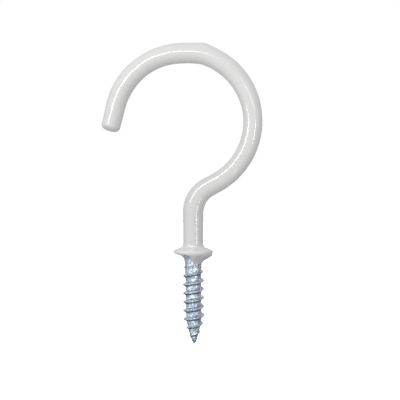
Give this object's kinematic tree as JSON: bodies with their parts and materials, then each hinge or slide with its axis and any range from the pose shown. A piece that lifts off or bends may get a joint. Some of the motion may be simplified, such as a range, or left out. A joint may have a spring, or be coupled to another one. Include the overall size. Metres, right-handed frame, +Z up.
{
  "type": "cup hook",
  "caption": "Screw-in hook of coated steel wire: a round open loop on a straight stem, a collar that seats on the wood and a pointed wood thread.",
  "frame": {"origin": "on the screw's axis, at the seat: level with the lower edge of the coated collar, which meets the wood", "axes": "+Z up the stem and away from the screw's point, +X towards the side that the loop is offset to, with the hook's mouth towards -X, and Y across the wire"},
  "size_m": [0.0392, 0.0098, 0.0731],
  "materials": {
    "zinc_plated_steel": "bright zinc plating with a blue tint, rolled and slightly uneven",
    "pale_vinyl": "glossy dip-moulded vinyl, pale grey white"
  },
  "bodies": {
    "root": {"steel_hook": "zinc_plated_steel", "vinyl_coating": "pale_vinyl"}
  },
  "joints": []
}
